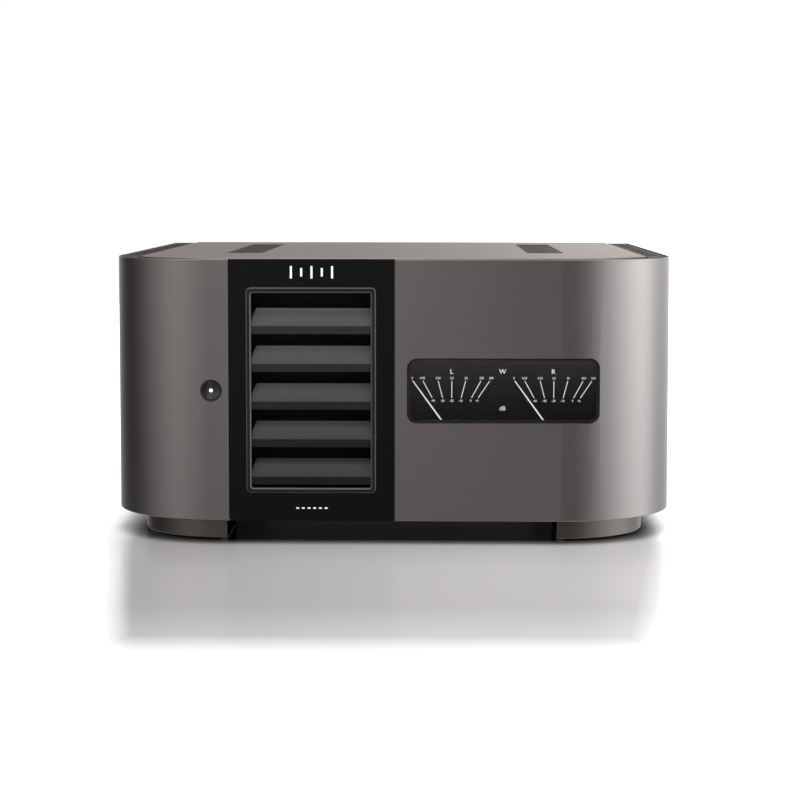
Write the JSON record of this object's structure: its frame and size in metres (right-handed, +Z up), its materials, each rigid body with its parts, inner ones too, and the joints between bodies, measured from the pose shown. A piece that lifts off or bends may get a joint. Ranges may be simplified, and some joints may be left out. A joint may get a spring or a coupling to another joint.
{
  "type": "power amplifier",
  "caption": "Heavy stereo power amplifier with a wrap-round rounded casing, louvred front air intake, twin needle meters behind a window and a lit power button.",
  "frame": {"origin": "on the floor under the middle of the overall box, which runs from the front face to the rearmost loudspeaker post", "axes": "+Z up, the front faces -Y, +X to the right seen from the front"},
  "size_m": [0.444, 0.475, 0.221],
  "materials": {
    "panel_anodised": "fine satin anodised, warm grey",
    "top_lacquer": "satin lacquer, warm grey",
    "fascia_black": "satin black",
    "grille_black": "satin black",
    "filter_foam": "open-cell foam",
    "moulded_black": "moulded, fine grain",
    "gloss_black": "polished",
    "light_guide": "clear acrylic, lit",
    "meter_glass": "flat, polished",
    "dial_black": "matt, printed",
    "needle_white": "matt",
    "zinc_steel": "zinc plated",
    "black_steel": "fine textured powder coat",
    "vent_steel": "satin powder coat",
    "rubber_black": "matt",
    "gold_plate": "polished gold plate",
    "raw_aluminium": "extruded",
    "winding_tape": "wound core under tape",
    "circuit_board": "solder mask",
    "capacitor_sleeve": "shrink sleeve",
    "chip_black": "moulded package",
    "lead_black": "sleeved lead"
  },
  "bodies": {
    "casing": {"amplifier_boards": "circuit_board", "base_plate": "black_steel", "button_ring": "gloss_black", "button_switch_board": "circuit_board", "casing_brackets": "zinc_steel", "casing_screws": "zinc_steel", "centre_fascia": "fascia_black", "control_board": "circuit_board", "corner_feet": "panel_anodised", "data_sockets": "zinc_steel", "dial_lamp_board": "circuit_board", "exhaust_duct": "moulded_black", "exhaust_grille": "vent_steel", "fan_frame": "moulded_black", "foot_pads": "rubber_black", "front_bulkhead": "zinc_steel", "heatsinks": "raw_aluminium", "inlet_pins": "gold_plate", "input_boards": "circuit_board", "intake_duct": "moulded_black", "left_wrap_panel": "panel_anodised", "mains_inlet": "moulded_black", "meter_case": "moulded_black", "meter_dial": "dial_black", "meter_movements": "zinc_steel", "meter_window": "meter_glass", "output_transistors": "chip_black", "post_bases": "moulded_black", "post_studs": "gold_plate", "rca_sockets": "gold_plate", "rear_panel": "black_steel", "reservoir_capacitors": "capacitor_sleeve", "right_wrap_panel": "panel_anodised", "rocker_frame": "moulded_black", "side_vent_grilles": "vent_steel", "supply_boards": "circuit_board", "supply_leads": "lead_black", "top_cover": "top_lacquer", "top_rails": "raw_aluminium", "top_vent_grilles": "vent_steel", "toroidal_transformer": "winding_tape", "transformer_clamp": "zinc_steel", "transformer_pads": "rubber_black", "trigger_jacks": "moulded_black", "tunnel_plates": "raw_aluminium", "xlr_sockets": "moulded_black"},
    "intake_grille": {"louvre_frame": "grille_black", "louvre_blades": "grille_black", "dust_filter": "filter_foam"},
    "power_button": {"power_button": "gloss_black", "button_light_guide": "light_guide"},
    "left_needle": {"needle_left": "needle_white"},
    "right_needle": {"needle_right": "needle_white"},
    "fan_rotor": {"fan_rotor": "moulded_black"},
    "rocker": {"rocker": "gloss_black"},
    "speaker_knob_1": {"speaker_knob_1": "gloss_black"},
    "speaker_knob_2": {"speaker_knob_2": "gloss_black"},
    "speaker_knob_3": {"speaker_knob_3": "gloss_black"},
    "speaker_knob_4": {"speaker_knob_4": "gloss_black"}
  },
  "joints": [
    {"name": "grille_pull", "type": "slide", "parent": "casing", "child": "intake_grille", "axis": [0, -1, 0], "range_m": [0, 0.06]},
    {"name": "button_press", "type": "slide", "parent": "casing", "child": "power_button", "axis": [0, 1, 0], "range_m": [0, 0.0015], "stiffness_N_per_m": 600, "springref_m": -0.001},
    {"name": "left_needle_swing", "type": "hinge", "parent": "casing", "child": "left_needle", "pos_m": [0.0466, -0.227, 0.0845], "axis": [0, 1, 0], "range_deg": [0, 72], "stiffness_Nm_per_rad": 0.0002, "springref_deg": -11.46},
    {"name": "right_needle_swing", "type": "hinge", "parent": "casing", "child": "right_needle", "pos_m": [0.1255, -0.227, 0.0845], "axis": [0, 1, 0], "range_deg": [0, 72], "stiffness_Nm_per_rad": 0.0002, "springref_deg": -11.46},
    {"name": "fan_spin", "type": "hinge", "parent": "casing", "child": "fan_rotor", "pos_m": [-0.0619, 0.1225, 0.1191], "axis": [0, 1, 0], "continuous": true},
    {"name": "rocker_tilt", "type": "hinge", "parent": "casing", "child": "rocker", "pos_m": [0.112, 0.2085, 0.066], "axis": [1, 0, 0], "range_deg": [0, 22]},
    {"name": "knob_1_turn", "type": "hinge", "parent": "casing", "child": "speaker_knob_1", "pos_m": [-0.186, 0.2295, 0.096], "axis": [0, 1, 0], "range_deg": [0, 1440]},
    {"name": "knob_2_turn", "type": "hinge", "parent": "casing", "child": "speaker_knob_2", "pos_m": [-0.148, 0.2295, 0.096], "axis": [0, 1, 0], "range_deg": [0, 1440]},
    {"name": "knob_3_turn", "type": "hinge", "parent": "casing", "child": "speaker_knob_3", "pos_m": [0.036, 0.2295, 0.096], "axis": [0, 1, 0], "range_deg": [0, 1440]},
    {"name": "knob_4_turn", "type": "hinge", "parent": "casing", "child": "speaker_knob_4", "pos_m": [0.074, 0.2295, 0.096], "axis": [0, 1, 0], "range_deg": [0, 1440]}
  ]
}
